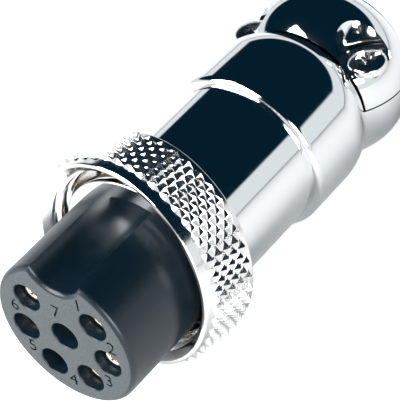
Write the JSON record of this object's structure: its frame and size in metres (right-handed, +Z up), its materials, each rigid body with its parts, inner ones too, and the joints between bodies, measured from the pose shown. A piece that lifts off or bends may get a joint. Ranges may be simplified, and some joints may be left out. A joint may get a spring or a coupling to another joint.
{
  "type": "aviation plug connector",
  "caption": "Cable-end aviation plug connector: keyed black socket insert, knurled coupling nut, bright nickel-plated shells and a screwed cable clamp.",
  "frame": {"origin": "centre of the barrel at the mating face", "axes": "+X along the plug's axis out of the mating face, +Z up through the key groove"},
  "size_m": [0.0388, 0.0184, 0.0183],
  "materials": {
    "black_moulding": "moulded thermoset, fine matt grain on the face and a smoother barrel",
    "nickel_shell": "bright nickel plate on turned and cast zinc",
    "nickel_nut": "bright nickel plate over a diamond knurl",
    "nickel_screw": "nickel-plated steel screw",
    "brass_washer": "bare brass",
    "spring_steel": "spring steel",
    "black_steel": "blackened steel",
    "silver_contact": "silver-plated brass"
  },
  "bodies": {
    "shell": {"insert": "black_moulding", "contact_1": "silver_contact", "contact_2": "silver_contact", "contact_3": "silver_contact", "contact_4": "silver_contact", "contact_5": "silver_contact", "contact_6": "silver_contact", "contact_7": "silver_contact", "front_shell": "nickel_shell", "retaining_ring": "spring_steel", "back_shell": "nickel_shell", "grub_screw": "black_steel"},
    "nut_carrier": {"slip_washer": "brass_washer"},
    "nut": {"coupling_nut": "nickel_nut"},
    "clamp": {"clamp_saddle": "nickel_shell", "clamp_screw_right": "nickel_screw", "clamp_screw_left": "nickel_screw"}
  },
  "joints": [
    {"name": "nut_slide", "type": "slide", "parent": "shell", "child": "nut_carrier", "axis": [-1, 0, 0], "range_m": [0, 0.0008]},
    {"name": "nut_spin", "type": "hinge", "parent": "nut_carrier", "child": "nut", "pos_m": [-0.01235, 0, 0], "axis": [0.9877, -0.0963, 0.1233], "continuous": true},
    {"name": "saddle_lift", "type": "slide", "parent": "shell", "child": "clamp", "axis": [0, -0.0872, 0.9962], "range_m": [0, 0.0012]}
  ]
}
